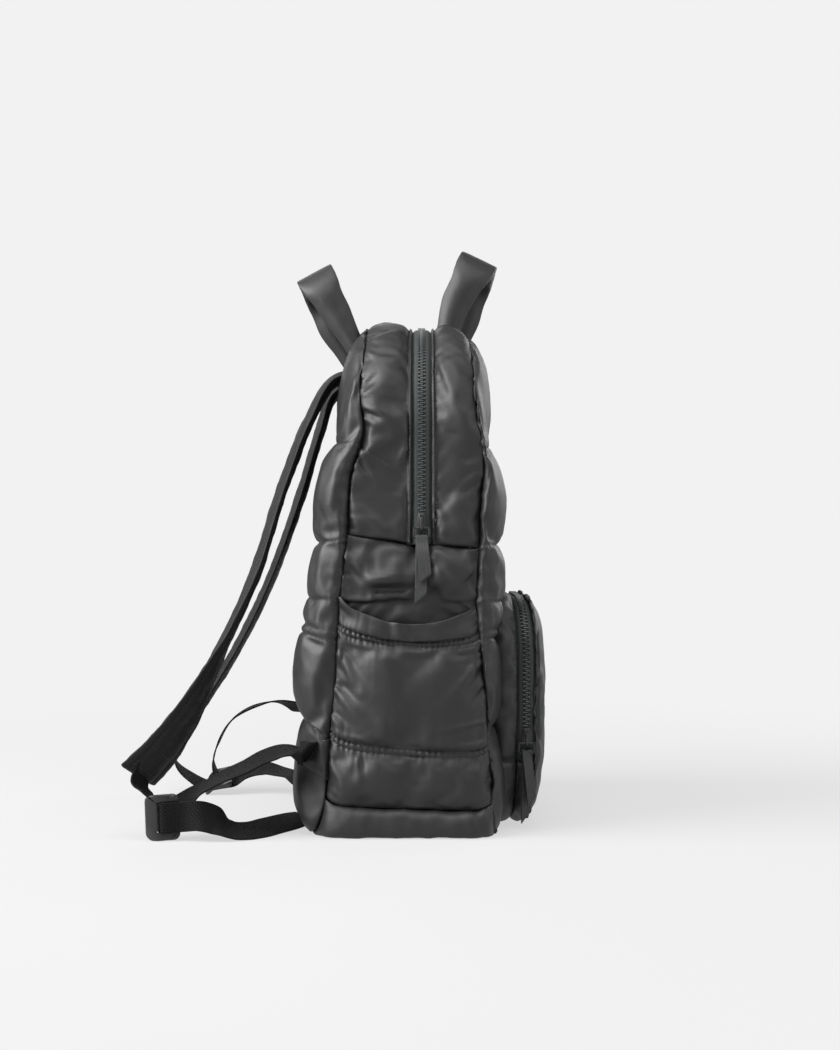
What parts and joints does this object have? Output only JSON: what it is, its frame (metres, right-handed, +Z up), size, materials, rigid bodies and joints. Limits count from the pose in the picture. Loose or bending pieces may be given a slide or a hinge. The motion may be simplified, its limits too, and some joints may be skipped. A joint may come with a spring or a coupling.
{
  "type": "diaper backpack",
  "caption": "Puffer-quilted nylon backpack with a zip over the top, open side pockets, a zipped front pocket, paired grab handles and padded shoulder straps.",
  "frame": {"origin": "on the floor under the middle of the body, on the flat of the base", "axes": "+Z up, the front with its pocket faces -Y, the wearer's back and the straps are at +Y, the pictured side is -X"},
  "size_m": [0.3289, 0.3645, 0.5091],
  "materials": {
    "nylon": "satin",
    "zip_tape": "matte",
    "zip_teeth": "satin",
    "moulded": "satin",
    "webbing": "matte",
    "ribbon": "satin"
  },
  "bodies": {
    "root": {"back_panel": "nylon", "front_panel": "nylon", "gusset_back": "nylon", "gusset_front": "nylon", "base": "nylon", "side_panel_left": "nylon", "slip_pocket_left": "nylon", "anchor_tab_left": "nylon", "side_panel_right": "nylon", "slip_pocket_right": "nylon", "anchor_tab_right": "nylon", "pocket_gusset": "nylon", "pocket_gusset_lower": "nylon", "pocket_face": "nylon", "handle_back": "nylon", "handle_front": "nylon", "strap_left": "nylon", "strap_right": "nylon", "zip_tape_back": "zip_tape", "zip_tape_front": "zip_tape", "pocket_zip_tape_back": "zip_tape", "pocket_zip_tape_front": "zip_tape", "zip_chain": "zip_teeth", "pocket_zip_chain": "zip_teeth", "zip_slider": "moulded", "pocket_zip_slider": "moulded", "buckle_left": "moulded", "buckle_right": "moulded", "webbing_left": "webbing", "webbing_right": "webbing", "strap_loop_left": "webbing", "strap_loop_right": "webbing", "zip_ribbon": "ribbon", "pocket_zip_ribbon": "ribbon"}
  },
  "joints": []
}
